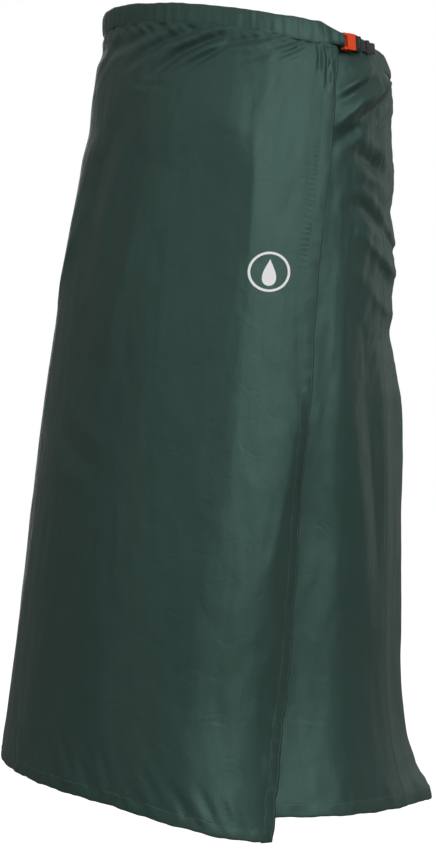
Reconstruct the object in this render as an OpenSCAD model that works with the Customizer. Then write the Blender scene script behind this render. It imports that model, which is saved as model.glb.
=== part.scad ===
// Wrap-around rain skirt: thin nylon panels, a hollow waistband with webbing, and a small side release buckle.
// Millimetres. Origin at the centre of the waist opening, +Z up, -Y front, +X the wearer's left.
// Angles run round the body from the front: 90 is the wearer's left side, -90 the right side, 180 the back.

/* [Waist] */
// Half the width of the body opening, just below the waist edge
waist_half_w = 146.8; // [130:0.2:165]
// Front-to-back depth of the waist as a share of its width
waist_depth_share = 0.76; // [0.7:0.01:0.9]
// How far the waist edge drops towards the wearer's left side
waist_drop_left = 12.8; // [0:0.2:20]
// How far the waist edge drops towards the back
waist_drop_back = 14.2; // [0:0.2:25]
// Height of the folded waistband
band_h = 20.5; // [16:0.5:30]
// Depth of the waistband, wall to wall
band_depth = 4.6; // [4.2:0.1:6]

/* [Skirt shape] */
// Half width 130 mm below the waist, at the hip
hip_half_w = 161.1; // [140:0.2:185]
// Half width 290 mm down, at the thigh
thigh_half_w = 173.6; // [150:0.2:200]
// Half width 490 mm down, at the knee
knee_half_w = 187.1; // [160:0.2:220]
// Half width 630 mm down, at the calf
calf_half_w = 195.7; // [165:0.2:230]
// Half width 750 mm down, at the flared hem
hem_half_w = 216; // [180:0.5:250]
// Depth of the hem as a share of its width
hem_depth_share = 0.9; // [0.75:0.01:1]
// Mean length from waist datum to the outer hem
outer_length = 731.4; // [600:0.5:760]
// Mean length from waist datum to the back hem
back_length = 724; // [600:0.5:760]

/* [Cloth] */
// Thickness of one cloth layer as modelled
cloth_t = 0.8; // [0.6:0.1:1.2]
// Outward offset of the outer panel where it lies over the under panel
lap_gap = 5.2; // [4.6:0.1:8]
// Angle where the under panel starts, near the front middle
under_edge_a = 10; // [0:1:30]
// Angle of the left side seam
left_seam_a = 100; // [95:1:115]
// Angle of the outer free edge just under the waistband
edge_top_a = 71.8; // [60:0.2:80]
// Angle of the outer free edge at mid length
edge_mid_a = 64; // [55:0.2:75]
// Angle of the outer free edge three quarters of the way down
edge_low_a = 61.5; // [50:0.2:75]
// Angle of the outer free edge at the hem corner
edge_hem_a = 53; // [45:0.2:70]
// Height of the folded hem
hem_h = 12; // [8:1:25]

/* [Webbing] */
// Width of the webbing
web_w = 10; // [8:0.5:12]
// Thickness of one layer of webbing
web_t = 1.1; // [0.8:0.1:1.4]
// Length of the loose tail behind the plug
tail_len = 20; // [16:1:60]

/* [Buckle] */
// Width of the buckle, up and down on the wearer
buckle_w = 15.2; // [14:0.2:18]
// Thickness of the socket
socket_t = 6.6; // [6:0.2:8]
// Length of the socket
socket_len = 14; // [13:0.5:18]
// Left and right position of the buckle's mouth
buckle_x = 152; // [140:0.1:165]
// Front and back position of the buckle's mouth
buckle_y = -20.3; // [-40:0.1:0]
// Height of the buckle's mouth
buckle_z = -20.6; // [-30:0.1:-10]

/* [Trim] */
// Angle of the printed emblem round the body
emblem_a = 48.2; // [20:0.2:60]
// Height of the printed emblem
emblem_z = -235; // [-400:1:-120]
// Outer radius of the emblem
emblem_r = 18; // [10:0.5:30]

/* [Hidden] */
$fn = 48;
seam_gap = 0.15;
buckle_turn = 82;
buckle_tilt = -8;
green = [0.2, 0.3, 0.28];
green_dark = [0.15, 0.22, 0.21];
charcoal = [0.13, 0.14, 0.15];
orange = [0.95, 0.3, 0.08];
pale = [0.88, 0.9, 0.88];

// Distance below the waist datum, half width, depth share
SHAPE = [
    [-20, waist_half_w - 4.4, waist_depth_share],
    [10, waist_half_w, waist_depth_share],
    [48, (waist_half_w * 2 + hip_half_w) / 3 + 0.8, waist_depth_share + 0.02],
    [128, hip_half_w, waist_depth_share + 0.04],
    [288, thigh_half_w, (waist_depth_share + hem_depth_share) / 2 + 0.01],
    [488, knee_half_w, hem_depth_share - 0.02],
    [628, calf_half_w, hem_depth_share],
    [750, hem_half_w, hem_depth_share]];
LAST = len(SHAPE) - 1;

// Smooth curve through the rows of SHAPE
function row_of(s, i = 0) = (i >= LAST - 1 || s < SHAPE[i + 1][0]) ? i : row_of(s, i + 1);
function slope_at(i, k) =
    (SHAPE[min(i + 1, LAST)][k] - SHAPE[max(i - 1, 0)][k])
    / (SHAPE[min(i + 1, LAST)][0] - SHAPE[max(i - 1, 0)][0]);
function shape_at(s, k) = let(
    i = row_of(s),
    h = SHAPE[i + 1][0] - SHAPE[i][0],
    t = (s - SHAPE[i][0]) / h,
    t2 = t * t,
    t3 = t2 * t)
    (2 * t3 - 3 * t2 + 1) * SHAPE[i][k] + (t3 - 2 * t2 + t) * h * slope_at(i, k)
    + (3 * t2 - 2 * t3) * SHAPE[i + 1][k] + (t3 - t2) * h * slope_at(i + 1, k);

// A point on the body shape: angle, height, distance outside the shape
function skin_pt(a, z, off) = let(w = shape_at(-z, 1), d = w * shape_at(-z, 2))
    [(w + off) * sin(a), -(d + off) * cos(a), z];
function ease(t) = let(u = min(max(t, 0), 1)) u * u * (3 - 2 * u);
function waist_z(a) = waist_drop_back * cos(a) - waist_drop_left * sin(a);
function lap(a) = lap_gap * ease((a + 90) / 60);
function outer_hem_z(a) = -outer_length - 22.4 * sin(a) + 22.3 * cos(a);
function back_hem_z(a) = -back_length + 10.8 * sin(a) - 0.5 * cos(a)
    + (a > 180 ? 25.8 * ease((a - 180) / 90) : 0)
    + (a < 50 ? 12 * ease((50 - a) / 30) : 0);
function edge_a(v) = v < 0.4 ? edge_top_a + (edge_mid_a - edge_top_a) * sin(v / 0.4 * 90)
    : v < 0.76 ? edge_mid_a + (edge_low_a - edge_mid_a) * ease((v - 0.4) / 0.36)
    : edge_low_a + (edge_hem_a - edge_low_a) * pow((v - 0.76) / 0.24, 1.3);
function outer_z(a, v) = let(z0 = waist_z(a) - band_h - 0.05) z0 + (outer_hem_z(a) - z0) * v;
function back_z(a, v) = let(z0 = waist_z(a) - band_h - 0.05) z0 + (back_hem_z(a) - z0) * v;

// A closed sheet from rows of [angle, height, offset], given thickness inwards
module sheet(rows, t) {
    R = len(rows);
    C = len(rows[0]);
    N = R * C;
    pts = concat([for (r = rows) for (p = r) skin_pt(p[0], p[1], p[2])],
        [for (r = rows) for (p = r) skin_pt(p[0], p[1], p[2] - t)]);
    polyhedron(pts, concat(
        [for (r = [0:R - 2]) for (c = [0:C - 2]) let(q = r * C + c) each [
            [q, q + 1, q + C + 1], [q, q + C + 1, q + C],
            [N + q, N + q + C + 1, N + q + 1], [N + q, N + q + C, N + q + C + 1]]],
        [for (c = [0:C - 2]) let(q = c, e = (R - 1) * C + c) each [
            [q + 1, q, N + q], [q + 1, N + q, N + q + 1],
            [e, e + 1, N + e + 1], [e, N + e + 1, N + e]]],
        [for (r = [0:R - 2]) let(q = r * C, e = r * C + C - 1) each [
            [q, q + C, N + q + C], [q, N + q + C, N + q],
            [e + C, e, N + e], [e + C, N + e, N + e + C]]]), convexity = 10);
}

// A solid strip through four-point rings; looped closes it on itself
module strip(rings, looped = false) {
    n = len(rings);
    m = looped ? n : n - 1;
    polyhedron([for (r = rings) for (p = r) p], concat(
        [for (i = [0:m - 1]) for (j = [0:3]) let(
            a = i * 4 + j, b = ((i + 1) % n) * 4 + j, c = ((i + 1) % n) * 4 + (j + 1) % 4,
            d = i * 4 + (j + 1) % 4) each [[a, b, c], [a, c, d]]],
        looped ? [] : [[0, 1, 2], [0, 2, 3], [4 * n - 1, 4 * n - 2, 4 * n - 3], [4 * n - 1, 4 * n - 3, 4 * n - 4]]),
        convexity = 10);
}

// A hollow band between two angles, open at both ends
module casing(angles, wrap) {
    n = len(angles);
    w = 0.8;
    function ring(a, g, top, bottom, out, inn) = [
        skin_pt(a, top, g + out), skin_pt(a, bottom, g + out),
        skin_pt(a, bottom, g + inn), skin_pt(a, top, g + inn)];
    outer = [for (a = angles) let(g = wrap ? lap(a) : 0, z = waist_z(a))
        ring(a, g, z, z - band_h, 0.6, 0.6 - band_depth)];
    inner = [for (a = angles) let(g = wrap ? lap(a) : 0, z = waist_z(a))
        ring(a, g, z - w, z - band_h + w, 0.6 - w, 0.6 - band_depth + w)];
    N = 4 * n;
    polyhedron([for (r = concat(outer, inner)) for (p = r) p], concat(
        [for (i = [0:n - 2]) for (j = [0:3]) let(
            a = i * 4 + j, b = a + 4, k = (j + 1) % 4, c = i * 4 + 4 + k, d = i * 4 + k) each [
            [a, b, c], [a, c, d], [N + a, N + c, N + b], [N + a, N + d, N + c]]],
        [for (j = [0:3]) let(k = (j + 1) % 4, e = 4 * n - 4) each [
            [j, k, N + k], [j, N + k, N + j],
            [e + k, e + j, N + e + j], [e + k, N + e + j, N + e + k]]]), convexity = 10);
}

// The buckle stands in its own frame: x along the pull, y towards the body, z up
BX = [cos(buckle_turn), sin(buckle_turn), 0];
BY0 = [-sin(buckle_turn), cos(buckle_turn), 0];
BY = BY0 * cos(buckle_tilt) + [0, 0, sin(buckle_tilt)];
BZ = [0, 0, cos(buckle_tilt)] - BY0 * sin(buckle_tilt);
function at_buckle(p) = [buckle_x, buckle_y, buckle_z] + BX * p[0] + BY * p[1] + BZ * p[2];
module on_buckle() {
    translate([buckle_x, buckle_y, buckle_z])
        rotate([0, 0, buckle_turn])
            rotate([buckle_tilt, 0, 0])
                children();
}
// A flat outline in the buckle's x-z plane, given thickness about the middle
module plate(t) {
    rotate([90, 0, 0])
        linear_extrude(t, center = true)
            children();
}
module round_box(x0, x1, h, r) {
    translate([x0 + r, -h / 2]) square([x1 - x0 - 2 * r, h]);
    translate([x0, -h / 2 + r]) square([x1 - x0, h - 2 * r]);
    for (x = [x0 + r, x1 - r], z = [-h / 2 + r, h / 2 - r])
        translate([x, z]) circle(r);
}
function seg_normal(p, i) = let(
    a = p[max(i - 1, 0)],
    b = p[min(i + 1, len(p) - 1)],
    d = (b - a) / norm(b - a)) [d[1], -d[0]];
function web_ring(p, i, t, h) = let(n = seg_normal(p, i) * t / 2, c = p[i]) [
    at_buckle([c[0] + n[0], c[1] + n[1], h / 2]), at_buckle([c[0] + n[0], c[1] + n[1], -h / 2]),
    at_buckle([c[0] - n[0], c[1] - n[1], -h / 2]), at_buckle([c[0] - n[0], c[1] - n[1], h / 2])];
function band_ring(a, off, t, h) = let(z = waist_z(a) - band_h / 2) [
    skin_pt(a, z + h / 2, off + t / 2), skin_pt(a, z - h / 2, off + t / 2),
    skin_pt(a, z - h / 2, off - t / 2), skin_pt(a, z + h / 2, off - t / 2)];

// ---- Outer wrap ----
function outer_col(u, v) = -90 + seam_gap + (edge_a(v) + 90 - seam_gap) * u;

module outer_wrap_panel() {
    color(green)
        sheet([for (v = [0:1 / 14:1.001]) [for (i = [0:32]) let(a = outer_col(i / 32, min(v, 1)))
            [a, outer_z(a, min(v, 1)), lap(a)]]], cloth_t);
}

module outer_edge_facing() {
    color(green_dark)
        sheet([for (v = [0.002:0.96 / 14:0.963]) [for (i = [0:2]) let(a = edge_a(v) - 4.6 + 2.2 * i)
            [a, outer_z(a, v), lap(a) - cloth_t - 0.5]]], cloth_t);
}

module outer_hem() {
    color(green_dark)
        sheet([for (k = [0, 1]) [for (i = [0:26]) let(a = -86 + (edge_hem_a + 1.2 * (1 - k) - 1 + 86) * i / 26)
            [a, outer_hem_z(a) + 0.6 + (1 - k) * hem_h, lap(a) - cloth_t - 0.35]]], cloth_t);
}

module outer_waistband() {
    color(green)
        casing([for (i = [0:32]) -90 + seam_gap + (edge_top_a - 1 + 90 - seam_gap) * i / 32], true);
}

module front_webbing() {
    color(charcoal)
        strip([for (i = [0:6]) band_ring(42 + (edge_top_a - 1.6 - 42) * i / 6, lap_gap - 1.7, 2 * web_t, web_w)]);
}

module socket_loop() {
    bar = [-socket_len + 0.8, 0];
    mouth = [-18.5, 5.1];
    dir = (bar - mouth) / norm(bar - mouth);
    side = [-dir[1], dir[0]];
    color(charcoal)
        on_buckle()
            translate([0, 0, -web_w / 2 + 0.2])
                linear_extrude(web_w)
                    difference() {
                        union() {
                            translate(bar) circle(1.5 + web_t);
                            polygon([bar + side * (1.5 + web_t), mouth + side * web_t,
                                mouth - side * web_t, bar - side * (1.5 + web_t)]);
                        }
                        translate(bar) circle(1.5);
                        polygon([bar + side * 1.5, mouth + dir * 2, bar - side * 1.5]);
                    }
}

module buckle_socket() {
    color(orange)
        on_buckle()
            difference() {
                union() {
                    plate(socket_t) round_box(-socket_len + 3.7, 0, buckle_w, 1.2);
                    for (k = [-1, 1])
                        translate([-socket_len, -2.5, k * (buckle_w / 2 - 1.1) - 1.1]) cube([5.5, 5, 2.2]);
                    translate([-socket_len, -1.2, -buckle_w / 2 + 1]) cube([1.6, 2.4, buckle_w - 2]);
                }
                translate([-socket_len + 4.6, -2.1, -6.4]) cube([socket_len, 4.2, 12.8]);
                for (k = [-1, 1])
                    translate([-8.2, -2.1, k * 7.4 - 1.3]) cube([4.8, 4.2, 2.6]);
            }
}

module hook_tape() {
    color(charcoal)
        sheet([for (v = [0.14:0.04:0.341]) [for (i = [0:2]) let(a = edge_a(v) - 12.5 + 3.6 * i)
            [a, outer_z(a, v), lap(a) - cloth_t - 0.3]]], 1);
}

function emblem_pt(x, z, off) = let(w = shape_at(-emblem_z, 1), d = w * shape_at(-emblem_z, 2))
    skin_pt(emblem_a + x / norm([w * cos(emblem_a), d * sin(emblem_a)]) * 180 / PI, emblem_z + z, lap_gap + off);
module front_emblem() {
    ring = [for (i = [0:31]) let(c = cos(i * 11.25), s = sin(i * 11.25)) [
        emblem_pt(emblem_r * s, emblem_r * c, 0.32), emblem_pt((emblem_r - 2) * s, (emblem_r - 2) * c, 0.32),
        emblem_pt((emblem_r - 2) * s, (emblem_r - 2) * c, 0.04), emblem_pt(emblem_r * s, emblem_r * c, 0.04)]];
    drop = [for (i = [0:19]) let(t = i * 18) [emblem_r * 0.46 * sin(t) * pow(sin(t / 2), 1.4),
        emblem_r * 0.66 * cos(t)]];
    color(pale) {
        strip(ring, true);
        polyhedron(concat([emblem_pt(0, -3, 0.34)], [for (p = drop) emblem_pt(p[0], p[1], 0.34)],
            [emblem_pt(0, -3, 0.04)], [for (p = drop) emblem_pt(p[0], p[1], 0.04)]),
            [for (i = [0:19]) let(j = (i + 1) % 20) each [
                [0, 1 + i, 1 + j], [21, 22 + j, 22 + i],
                [1 + i, 22 + i, 22 + j], [1 + i, 22 + j, 1 + j]]]);
    }
}

module webbing_bartack() {
    color(green_dark)
        strip([for (a = [40.8:1.15:45.5]) let(z = waist_z(a) - band_h + 1.9) [
            skin_pt(a, z + 1.1, lap_gap + 1.35), skin_pt(a, z - 1.1, lap_gap + 1.35),
            skin_pt(a, z - 1.1, lap_gap + 0.75), skin_pt(a, z + 1.1, lap_gap + 0.75)]]);
}

// ---- Back and under wrap ----
module back_panel() {
    color(green)
        sheet([for (v = [0:1 / 14:1.001]) [for (i = [0:34]) let(a = left_seam_a + (270 - left_seam_a) * i / 34)
            [a, back_z(a, min(v, 1)), 0]]], cloth_t);
}

module under_wrap_panel() {
    color(green)
        sheet([for (v = [0:1 / 14:1.001]) [for (i = [0:18])
            let(a = under_edge_a + (left_seam_a - 0.03 - under_edge_a) * i / 18)
            [a, back_z(a, min(v, 1)), 0]]], cloth_t);
}

module back_waistband() {
    color(green)
        casing([for (i = [0:34]) left_seam_a + (270 - left_seam_a) * i / 34], false);
}

module under_waistband() {
    color(green)
        difference() {
            casing([for (i = [0:18]) under_edge_a + (left_seam_a - 0.03 - under_edge_a) * i / 18], false);
            on_buckle() translate([10, 3.7, -web_w / 2 - 0.6]) cube([8, 2.5, web_w + 1.2]);
        }
}

module back_hem() {
    color(green_dark)
        sheet([for (k = [1, 0]) [for (i = [0:30]) let(a = left_seam_a + 5 + (265 - left_seam_a - 5) * i / 30)
            [a, back_hem_z(a) + 0.6 + k * hem_h, -cloth_t - 0.3]]], cloth_t);
}

module under_hem() {
    color(green_dark)
        sheet([for (k = [1, 0]) [for (i = [0:15]) let(a = under_edge_a + 5.5 + (left_seam_a - 5 - under_edge_a - 5.5) * i / 15)
            [a, back_hem_z(a) + 0.6 + k * hem_h, -cloth_t - 0.3]]], cloth_t);
}

module under_edge_facing() {
    color(green_dark)
        sheet([for (v = [0.002:0.99 / 12:0.993]) [for (i = [0:2]) let(a = under_edge_a + 0.1 + 2.3 * i)
            [a, back_z(a, v), -cloth_t - 0.6]]], cloth_t);
}

module seam_tape(a0) {
    color(green_dark)
        sheet([for (v = [0.002:0.97 / 12:0.973]) [for (i = [0:2]) let(a = a0 - 2.4 + 2.4 * i)
            [a, back_z(a, v), -cloth_t - 0.65]]], 0.5);
}
module right_seam_tape() {
    seam_tape(267.4);
}
module left_seam_tape() {
    seam_tape(left_seam_a);
}

module back_webbing() {
    path = [[9.3, 2.05], [8.2, 2.05], [7.3, 2.1], [6.8, 1.5], [6.8, -1], [6.2, -1.95], [5.1, -2.15],
        [4, -1.95], [3.4, -1], [3.4, 1.6], [3.9, 2.8], [4.8, 3.25], [9, 3.35], [11.5, 4.1], [15, 6.1],
        [18, 7.45], [21, 8.1]];
    color(charcoal)
        strip(concat([for (i = [0:len(path) - 1]) web_ring(path, i, web_t, web_w)],
            [for (a = [95:5:260]) band_ring(a, -1.7, web_t, web_w)]));
}

module buckle_plug() {
    color(green_dark)
        on_buckle()
            difference() {
                union() {
                    plate(5.6) round_box(0.3, 2.8, buckle_w - 0.6, 0.8);
                    plate(2.6) difference() {
                        round_box(1, 9.4, buckle_w - 0.6, 1.2);
                        translate([2.6, -web_w / 2 - 0.3]) square([1.6, web_w + 0.6]);
                        translate([6, -web_w / 2 - 0.3]) square([1.6, web_w + 0.6]);
                    }
                    plate(2.4) round_box(-7.3, 1, 3.2, 0.8);
                }
                for (k = [-1, 1])
                    translate([-0.2, -1.95, k * 5.1 - 1.3]) cube([2.6, 3.9, 2.6]);
            }
}

// One springing side arm of the plug, for the upper side
module side_arm() {
    plate(3.2)
        union() {
            translate([1.3, 5.1]) circle(0.9);
            polygon([[-8.6, 4.4], [1.3, 4.4], [1.3, 5.8], [-4.1, 5.8], [-4.4, 7.5], [-6.8, 7.2],
                [-7.6, 5.8], [-8.6, 5.8]]);
        }
}
module plug_arm_upper() {
    color(green_dark)
        on_buckle()
            side_arm();
}
module plug_arm_lower() {
    color(green_dark)
        on_buckle()
            mirror([0, 0, 1])
                side_arm();
}

module loop_tape() {
    color(charcoal)
        sheet([for (v = [0.14:0.04:0.341]) [for (i = [0:2]) let(a = edge_a(v) - 12.5 + 3.6 * i)
            [a, back_z(a, v), 1.35]]], 1);
}

module care_label() {
    color(pale)
        sheet([for (k = [0:2]) [for (i = [0:3]) let(a = 146 + 4 * i)
            [a, waist_z(a) - band_h - 1 - 22 * k, -cloth_t - 0.4 - 0.3 * k]]], 0.5);
}

module hang_loop() {
    color(charcoal)
        translate([0, shape_at(12, 1) * waist_depth_share - band_depth - 1.2, waist_z(180) - band_h])
            plate(1.2)
                difference() {
                    union() {
                        translate([-19, 0]) square([38, 8]);
                        circle(19);
                    }
                    circle(13);
                    translate([-30, 8]) square([60, 30]);
                }
}

// ---- Loose webbing ----
module on_tail() {
    on_buckle()
        translate([11.1, 2, 0])
            rotate([0, 0, 3.4])
                children();
}
module webbing_tail() {
    color(charcoal)
        on_tail() {
            translate([0, -web_t / 2, -web_w / 2]) cube([tail_len, web_t, web_w]);
            translate([tail_len - 3, -1.2, -web_w / 2]) cube([4, 2.4, web_w]);
        }
}

module tail_keeper() {
    color(charcoal)
        on_tail()
            translate([7.5, 0, 0])
                difference() {
                    translate([0, -web_t / 2 - 1.15, -web_w / 2 - 1.1]) cube([4, web_t + 2.3, web_w + 2.2]);
                    translate([-1, -web_t / 2 - 0.35, -web_w / 2 - 0.3]) cube([6, web_t + 0.7, web_w + 0.6]);
                }
}

outer_wrap_panel();
outer_edge_facing();
outer_hem();
outer_waistband();
front_webbing();
socket_loop();
buckle_socket();
hook_tape();
front_emblem();
webbing_bartack();
back_panel();
under_wrap_panel();
back_waistband();
under_waistband();
back_hem();
under_hem();
under_edge_facing();
right_seam_tape();
left_seam_tape();
back_webbing();
buckle_plug();
loop_tape();
care_label();
hang_loop();
plug_arm_upper();
plug_arm_lower();
webbing_tail();
tail_keeper();
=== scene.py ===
# %% [markdown]
# A wrap-around rain skirt, worn by nobody: thin coated nylon, a folded waistband, and a small buckle on
# the wearer's left. The moving model is loaded first as a fixed frame, in metres, with +Z up, the front
# towards -Y and the wearer's left towards +X. Most pieces made below ride on one of its bodies; the outer
# panel, its band, its hem and the stitching on them are tied to none.

# %% Load the frame
import math

import bmesh
import bpy
import numpy as np
from mathutils import Matrix, Vector


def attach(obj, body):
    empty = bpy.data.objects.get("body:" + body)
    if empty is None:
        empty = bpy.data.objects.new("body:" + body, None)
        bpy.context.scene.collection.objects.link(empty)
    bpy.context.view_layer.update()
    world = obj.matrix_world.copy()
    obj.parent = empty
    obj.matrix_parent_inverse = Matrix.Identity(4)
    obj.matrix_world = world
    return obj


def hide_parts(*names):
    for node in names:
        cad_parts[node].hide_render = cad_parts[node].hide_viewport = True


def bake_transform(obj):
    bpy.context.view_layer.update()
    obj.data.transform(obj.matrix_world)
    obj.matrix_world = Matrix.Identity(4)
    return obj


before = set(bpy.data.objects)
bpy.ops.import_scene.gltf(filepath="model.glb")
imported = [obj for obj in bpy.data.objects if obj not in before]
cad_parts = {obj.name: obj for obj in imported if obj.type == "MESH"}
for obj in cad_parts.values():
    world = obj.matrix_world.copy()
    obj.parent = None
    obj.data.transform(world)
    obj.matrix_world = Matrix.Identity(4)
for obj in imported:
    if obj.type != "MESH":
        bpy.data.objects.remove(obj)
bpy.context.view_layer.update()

# %% [markdown]
# The camera stands about 2.2 m away at the height of the skirt's middle, 40 degrees round from the front
# towards the wearer's left. A long lens keeps the hem from looking wider than it is. A small roll makes the
# skirt lean the way a hanging garment on a slightly tilted stand does.

# %% Camera
VIEW_ANGLE = math.radians(40)
CAMERA_ROLL = math.radians(2.4)
CAMERA_AWAY = 2.2
SKIRT_MIDDLE = -0.373
camera = bpy.data.objects.new("camera", bpy.data.cameras.new("camera"))
bpy.context.scene.collection.objects.link(camera)
bpy.context.scene.camera = camera
camera.data.lens = 97.06
camera.data.sensor_width = 36
camera.data.clip_end = 60
looking = Vector((-math.sin(VIEW_ANGLE), math.cos(VIEW_ANGLE), 0))
across = Vector((math.cos(VIEW_ANGLE), math.sin(VIEW_ANGLE), 0))
camera.location = Vector((0, 0, SKIRT_MIDDLE)) - looking * CAMERA_AWAY - across * 0.005
camera.rotation_mode = "QUATERNION"
roll = Matrix.Rotation(CAMERA_ROLL, 4, "Z").to_quaternion()
camera.rotation_quaternion = looking.to_track_quat("-Z", "Y") @ roll
print("camera at", [round(v, 3) for v in camera.location])

# %% [markdown]
# A pale floor about a metre below the waist, where a wearer's feet would be, and big soft lights. The key
# light comes from the wearer's left front, so the right side of the skirt falls into shade. The camera sees a
# white room, but the room that lights the cloth is a dim dome, dark below, because thin nylon reflects its
# surroundings and would turn grey in a white one. Two narrow lamps behind give the cloth its bright edges,
# and a wide one keeps its back from going black.

# %% Floor and light
def soft_light(name, place, target, size, power):
    """A large area lamp at a place, aimed at a target, so that its shadows are soft."""
    lamp = bpy.data.lights.new(name, "AREA")
    lamp.shape = "RECTANGLE"
    lamp.size, lamp.size_y = size
    lamp.energy = power
    holder = bpy.data.objects.new(name, lamp)
    bpy.context.scene.collection.objects.link(holder)
    holder.location = place
    holder.rotation_mode = "QUATERNION"
    holder.rotation_quaternion = (Vector(target) - Vector(place)).to_track_quat("-Z", "Y")


bpy.context.scene.view_settings.view_transform = "Standard"
world = bpy.data.worlds.new("white_room")
bpy.context.scene.world = world
world.use_nodes = True
room = world.node_tree
room.nodes["Background"].inputs["Color"].default_value = (1, 1, 1, 1)
direction = room.nodes.new("ShaderNodeSeparateXYZ")
room.links.new(room.nodes.new("ShaderNodeTexCoord").outputs["Generated"], direction.inputs[0])
dome = room.nodes.new("ShaderNodeMapRange")
for name, value in (("From Min", -1), ("From Max", 1), ("To Min", 0.03), ("To Max", 0.37)):
    dome.inputs[name].default_value = value
room.links.new(direction.outputs["Z"], dome.inputs["Value"])
seen = room.nodes.new("ShaderNodeMix")
room.links.new(room.nodes.new("ShaderNodeLightPath").outputs["Is Camera Ray"], seen.inputs["Factor"])
room.links.new(dome.outputs["Result"], seen.inputs["A"])
seen.inputs["B"].default_value = 1.0
room.links.new(seen.outputs["Result"], room.nodes["Background"].inputs["Strength"])
soft_light("key", (3.2, -1.85, 1.45), (0, 0, -0.42), (2.7, 2.3), 92)
soft_light("front_fill", (-0.5, -3.0, 1.1), (0, 0, -0.3), (1.6, 2.0), 10)
soft_light("left_rim", (-1.8, 1.2, 0.1), (0, 0, -0.4), (0.4, 1.8), 4)
soft_light("right_rim", (0.6, 2.5, 0.3), (0, 0, -0.3), (0.25, 1.6), 3)
soft_light("back_fill", (-1.9, 2.4, 2.3), (0, 0, -0.4), (1.6, 1.6), 46)

floor_mesh = bmesh.new()
bmesh.ops.create_grid(floor_mesh, x_segments=2, y_segments=2, size=15)
floor_data = bpy.data.meshes.new("floor")
floor_mesh.to_mesh(floor_data)
floor_mesh.free()
floor = bpy.data.objects.new("floor", floor_data)
bpy.context.scene.collection.objects.link(floor)
floor.location = (0, 0, -1.05)
floor_finish = bpy.data.materials.new("pale_floor")
floor_finish.use_nodes = True
floor_skin = floor_finish.node_tree.nodes["Principled BSDF"].inputs
floor_skin["Base Color"].default_value = (0.16, 0.16, 0.16, 1)
floor_skin["Roughness"].default_value = 1.0
floor_skin["Specular IOR Level"].default_value = 0.0
floor_skin["Emission Color"].default_value = (1, 1, 1, 1)
floor_skin["Emission Strength"].default_value = 0.985
floor.data.materials.append(floor_finish)
floor.visible_diffuse = floor.visible_glossy = False
print("floor and lamps placed")

# %% [markdown]
# A finish is a small network of nodes. Written out one by one it is hard to follow, so a socket is wrapped in
# a class that knows plus, minus and times: an expression on values then adds the Math nodes by itself.

# %% Shader expressions
class Value:
    """A number that changes over a surface: one output socket, with arithmetic."""

    def __init__(self, finish, socket):
        self.finish, self.socket = finish, socket

    def _math(self, operation, *others):
        node = self.finish.tree.nodes.new("ShaderNodeMath")
        node.operation = operation
        for place, value in zip(node.inputs, others):
            if isinstance(value, Value):
                self.finish.tree.links.new(value.socket, place)
            else:
                place.default_value = value
        return Value(self.finish, node.outputs[0])

    def __add__(self, other):
        return self._math("ADD", self, other)

    def __mul__(self, other):
        return self._math("MULTIPLY", self, other)

    def __sub__(self, other):
        return self._math("SUBTRACT", self, other)

    def __rsub__(self, other):
        return self._math("SUBTRACT", other, self)

    __radd__, __rmul__ = __add__, __mul__

    def sine(self):
        return self._math("SINE", self)

    def size(self):
        return self._math("ABSOLUTE", self)

    def clamp(self):
        return self._math("MINIMUM", self._math("MAXIMUM", self, 0.0), 1.0)


class Finish:
    """A material and its node tree, built around one Principled shader."""

    def __init__(self, name, roughness=0.5, **constants):
        self.material = bpy.data.materials.new(name)
        self.material.use_nodes = True
        self.tree = self.material.node_tree
        self.shader = self.tree.nodes["Principled BSDF"]
        self.shader.inputs["Roughness"].default_value = roughness
        for key, value in constants.items():
            self.shader.inputs[key.replace("_", " ")].default_value = value

    def node(self, kind, settings=None, out=0, **values):
        node = self.tree.nodes.new(kind)
        for key, value in (settings or {}).items():
            setattr(node, key, value)
        for key, value in values.items():
            place = node.inputs[key.replace("_", " ")]
            if isinstance(value, Value):
                self.tree.links.new(value.socket, place)
            else:
                place.default_value = value
        return Value(self, node.outputs[out])

    def place(self, kind="UV"):
        return self.node("ShaderNodeTexCoord", out=kind)

    def parts(self, vector):
        split = self.tree.nodes.new("ShaderNodeSeparateXYZ")
        self.tree.links.new(vector.socket, split.inputs[0])
        return [Value(self, s) for s in split.outputs]

    def noise(self, vector, scale, detail=3.0, roughness=0.55, distortion=0.0):
        return self.node("ShaderNodeTexNoise", Vector=vector, Scale=scale, Detail=detail,
                         Roughness=roughness, Distortion=distortion)

    def mix(self, share, first, second):
        mixer = self.tree.nodes.new("ShaderNodeMix")
        mixer.data_type = "RGBA"
        for place, value in ((mixer.inputs[0], share), (mixer.inputs[6], first), (mixer.inputs[7], second)):
            if isinstance(value, Value):
                self.tree.links.new(value.socket, place)
            else:
                place.default_value = value if isinstance(value, float) else (*value, 1)
        return Value(self, mixer.outputs[2])

    def feed(self, name, value):
        self.tree.links.new(value.socket, self.shader.inputs[name])

    def bump(self, height, strength, distance):
        self.feed("Normal", self.node("ShaderNodeBump", Height=height, Strength=strength, Distance=distance))


print("shader helpers ready")

# %% [markdown]
# The shell cloth is a light nylon taffeta with a thin coating on the inside. On the real thing three things
# can be seen: a very fine plain weave, a soft sheen, and many shallow crinkles left from being packed small.
# The weave follows the cloth's own map, so it stays fixed on the cloth.

# %% Cloth finishes
WEAVE = 0.0007


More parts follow.
